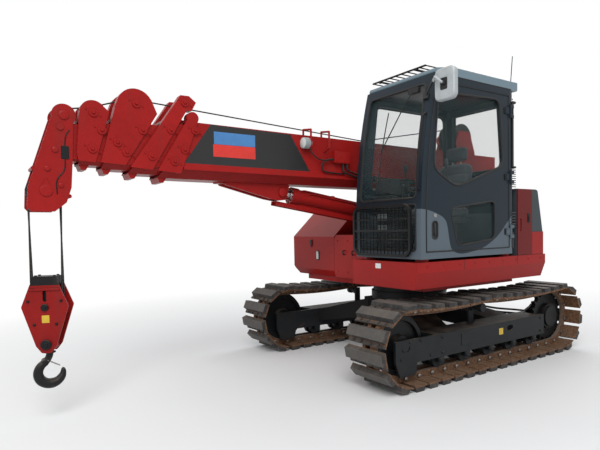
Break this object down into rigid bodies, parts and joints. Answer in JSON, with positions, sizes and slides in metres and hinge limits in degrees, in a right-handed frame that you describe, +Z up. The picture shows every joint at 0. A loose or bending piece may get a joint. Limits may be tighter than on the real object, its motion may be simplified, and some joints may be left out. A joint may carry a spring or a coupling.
{
  "type": "crawler crane",
  "caption": "Compact tracked crane with an enclosed cab, a telescopic boom beside it, and a hook block hanging on rope falls from the boom head.",
  "frame": {"origin": "on the ground, under the slewing axis, midway between the tracks", "axes": "+X forward along the tracks and the parked boom, +Y to the left (cab side), +Z up"},
  "size_m": [5.0288, 2.585, 2.9205],
  "materials": {
    "red_paint": "semi-gloss",
    "black_paint": "satin",
    "frame_grey": "satin",
    "shoe_steel": "rusty",
    "cab_blue": "satin",
    "roof_grey": "satin",
    "glass": "tinted",
    "dark_steel": "satin",
    "steel": "bright",
    "seat_trim": "matt",
    "plastic": "matt",
    "rope": "greased"
  },
  "bodies": {
    "undercarriage": {"car_body": "black_paint", "slewing_ring": "black_paint", "track_frame_left": "frame_grey", "track_frame_right": "frame_grey", "track_left": "shoe_steel", "track_right": "shoe_steel", "idler_left": "shoe_steel", "idler_right": "shoe_steel", "sprocket_left": "shoe_steel", "sprocket_right": "shoe_steel"},
    "upper": {"swing_frame": "red_paint", "counterweight": "red_paint", "left_skirt": "red_paint", "centre_panel": "red_paint", "engine_bay": "dark_steel", "engine": "dark_steel", "right_housing": "red_paint", "tool_box": "red_paint", "cab_frame": "cab_blue", "cab_roof": "roof_grey", "windscreen_upper": "glass", "windscreen_lower": "glass", "cab_side_glass": "glass", "cab_rear_glass": "glass", "seat": "seat_trim", "console": "plastic", "screen_guard": "dark_steel", "roof_visor": "dark_steel", "mirror_left": "plastic"},
    "engine_hood": {"engine_hood": "dark_steel"},
    "service_door": {"service_door": "red_paint"},
    "tool_box_lid": {"tool_box_lid": "red_paint"},
    "cab_door": {"cab_door": "cab_blue", "door_glass_upper": "glass", "door_glass_lower": "glass"},
    "boom_base": {"boom_base": "red_paint", "winch_frame": "red_paint"},
    "winch_drum": {"winch_drum": "dark_steel"},
    "boom_section_2": {"boom_section_2": "red_paint"},
    "boom_section_3": {"boom_section_3": "red_paint"},
    "boom_section_4": {"boom_section_4": "red_paint"},
    "boom_head": {"boom_head": "red_paint"},
    "head_sheaves": {"head_sheaves": "dark_steel"},
    "nose_sheave": {"nose_sheave": "dark_steel"},
    "load_line": {"rope_falls": "rope"},
    "hook_block": {"hook_block": "red_paint"},
    "block_sheaves": {"block_sheaves": "dark_steel"},
    "hook": {"hook": "dark_steel"},
    "luff_barrel": {"luff_barrel": "red_paint"},
    "luff_rod": {"luff_rod": "steel"}
  },
  "joints": [
    {"name": "slew", "type": "hinge", "parent": "undercarriage", "child": "upper", "pos_m": [0, 0, 0.745], "axis": [0, 0, 1], "continuous": true},
    {"name": "cab_door_hinge", "type": "hinge", "parent": "upper", "child": "cab_door", "pos_m": [-0.209, 1.137, 1.75], "axis": [0, 0, 1], "range_deg": [0, 90]},
    {"name": "service_door_hinge", "type": "hinge", "parent": "upper", "child": "service_door", "pos_m": [-0.558, 1.125, 1.33], "axis": [0, 0, 1], "range_deg": [0, 100]},
    {"name": "engine_hood_hinge", "type": "hinge", "parent": "upper", "child": "engine_hood", "pos_m": [-0.562, 0.68, 1.65], "axis": [0, 1, 0], "range_deg": [0, 60]},
    {"name": "tool_box_lid_hinge", "type": "hinge", "parent": "upper", "child": "tool_box_lid", "pos_m": [0.447, -0.73, 1.506], "axis": [0, -1, 0], "range_deg": [0, 75]},
    {"name": "luff", "type": "hinge", "parent": "upper", "child": "boom_base", "pos_m": [-1.18, 0, 1.897], "axis": [0, -1, 0], "range_deg": [0, 74.5]},
    {"name": "winch_turn", "type": "hinge", "parent": "boom_base", "child": "winch_drum", "pos_m": [-0.76361, 0, 2.31265], "axis": [0, 1, 0], "continuous": true},
    {"name": "extend_2", "type": "slide", "parent": "boom_base", "child": "boom_section_2", "axis": [1, 0, 0.0087], "range_m": [0, 2.845]},
    {"name": "extend_3", "type": "slide", "parent": "boom_section_2", "child": "boom_section_3", "axis": [1, 0, 0.0087], "range_m": [0, 2.845]},
    {"name": "extend_4", "type": "slide", "parent": "boom_section_3", "child": "boom_section_4", "axis": [1, 0, 0.0087], "range_m": [0, 2.845]},
    {"name": "extend_5", "type": "slide", "parent": "boom_section_4", "child": "boom_head", "axis": [1, 0, 0.0087], "range_m": [0, 2.845]},
    {"name": "head_sheave_turn", "type": "hinge", "parent": "boom_head", "child": "head_sheaves", "pos_m": [3.44477, 0, 1.59935], "axis": [0, 1, 0], "continuous": true},
    {"name": "nose_sheave_turn", "type": "hinge", "parent": "boom_head", "child": "nose_sheave", "pos_m": [3.31926, 0, 2.11627], "axis": [0, 1, 0], "continuous": true},
    {"name": "load_line_swing", "type": "hinge", "parent": "boom_head", "child": "load_line", "pos_m": [3.44477, 0, 1.59935], "axis": [0, -1, 0], "range_deg": [-74.5, 0]},
    {"name": "hoist", "type": "slide", "parent": "load_line", "child": "hook_block", "axis": [0, 0, -1], "range_m": [-0.25, 4], "deforming": ["rope_falls"]},
    {"name": "block_sheave_turn", "type": "hinge", "parent": "hook_block", "child": "block_sheaves", "pos_m": [3.45, 0, 0.806], "axis": [0.4384, 0.8988, 0], "continuous": true},
    {"name": "hook_swivel", "type": "hinge", "parent": "hook_block", "child": "hook", "pos_m": [3.45, 0, 0.551], "axis": [0, 0, 1], "continuous": true},
    {"name": "luff_barrel_pivot", "type": "hinge", "parent": "upper", "child": "luff_barrel", "pos_m": [-0.972, 0, 1.203], "axis": [0, -1, 0], "range_deg": [0, 68]},
    {"name": "luff_rod_slide", "type": "slide", "parent": "luff_barrel", "child": "luff_rod", "axis": [0.9863, 0, 0.165], "range_m": [0, 0.9]}
  ],
  "couplings": [
    {"joint": "extend_4", "follows": "extend_3", "ratio": 1},
    {"joint": "extend_5", "follows": "extend_3", "ratio": 1},
    {"joint": "load_line_swing", "follows": "luff", "ratio": -1},
    {"joint": "luff_barrel_pivot", "follows": "luff", "ratio": 0.9},
    {"joint": "luff_rod_slide", "follows": "luff", "m_per_rad": 0.685}
  ]
}
